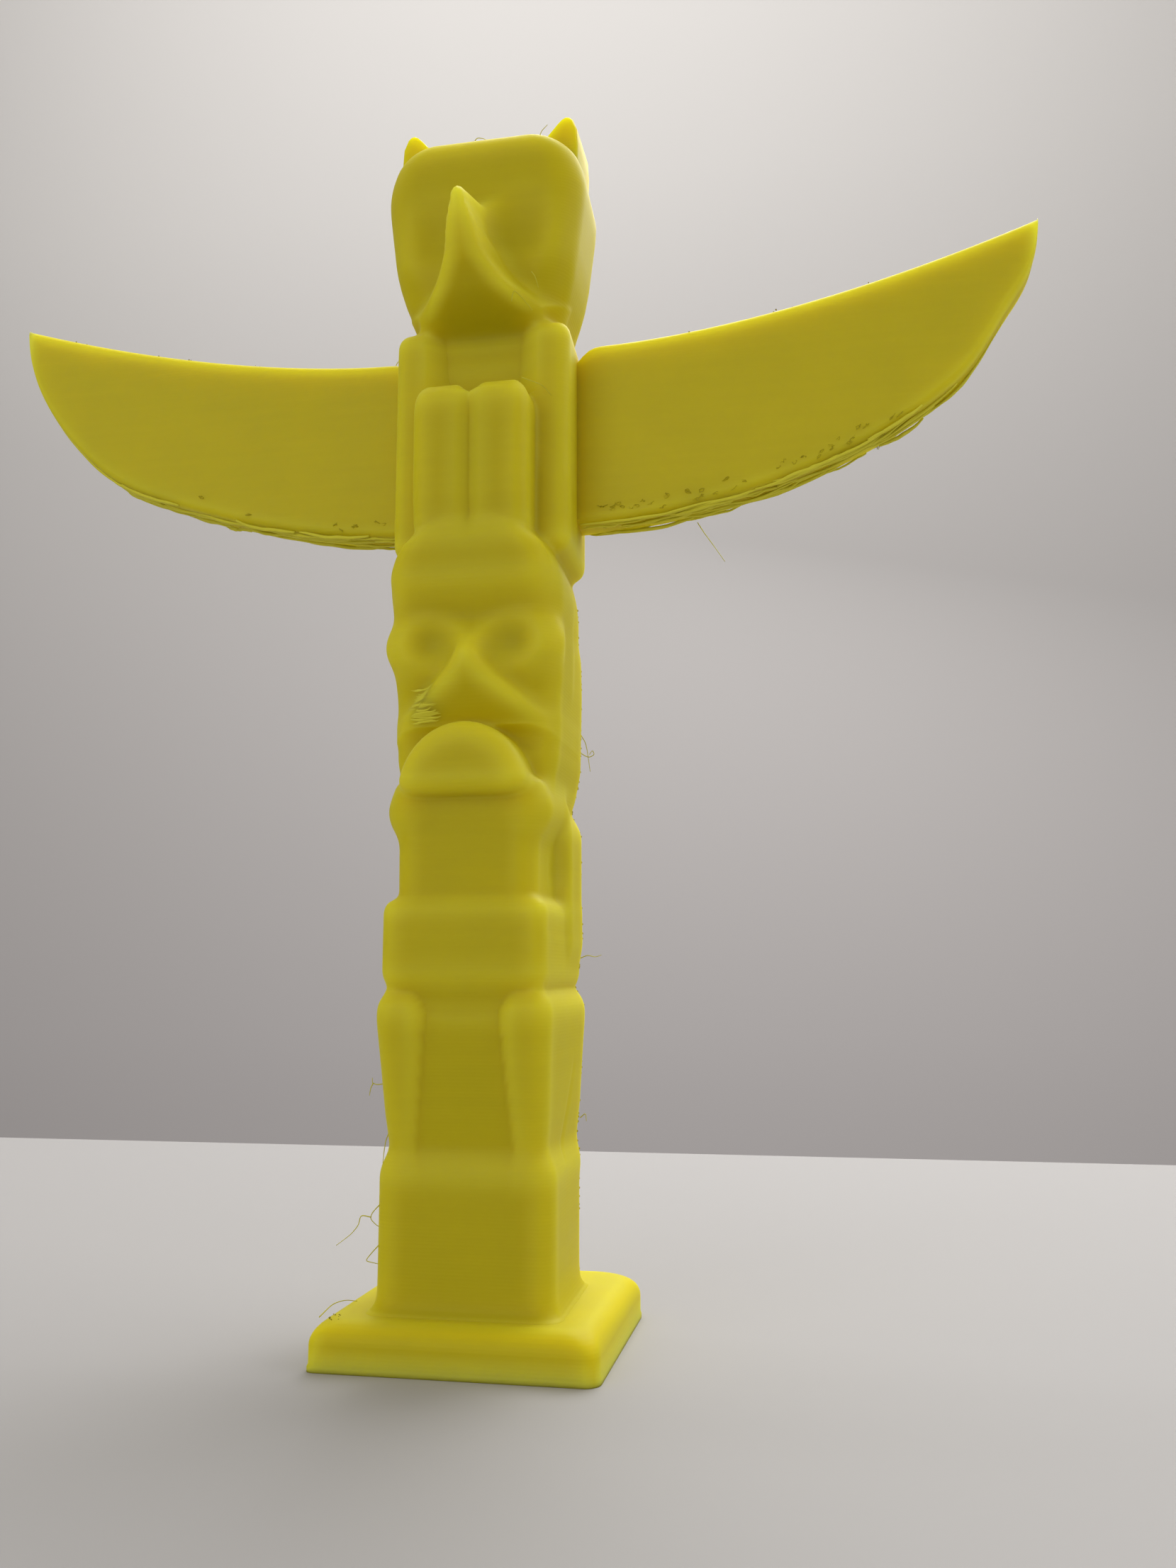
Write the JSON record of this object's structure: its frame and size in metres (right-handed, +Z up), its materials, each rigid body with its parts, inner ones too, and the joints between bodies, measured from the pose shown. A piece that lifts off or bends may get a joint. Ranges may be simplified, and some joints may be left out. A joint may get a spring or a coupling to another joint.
{
  "type": "totem pole",
  "caption": "Small printed totem pole figurine: square foot slab, stacked carved figures, and a bird with a hooked beak, ears and two flat wings.",
  "frame": {"origin": "middle of the flat underside of the foot slab", "axes": "+Z up the pole, the faces look along -Y, +X to the viewer's right along the wings"},
  "size_m": [0.0686, 0.018, 0.0765],
  "materials": {
    "yellow_plastic": "layered print, translucent, satin"
  },
  "bodies": {
    "root": {"totem_pole": "yellow_plastic"}
  },
  "joints": []
}
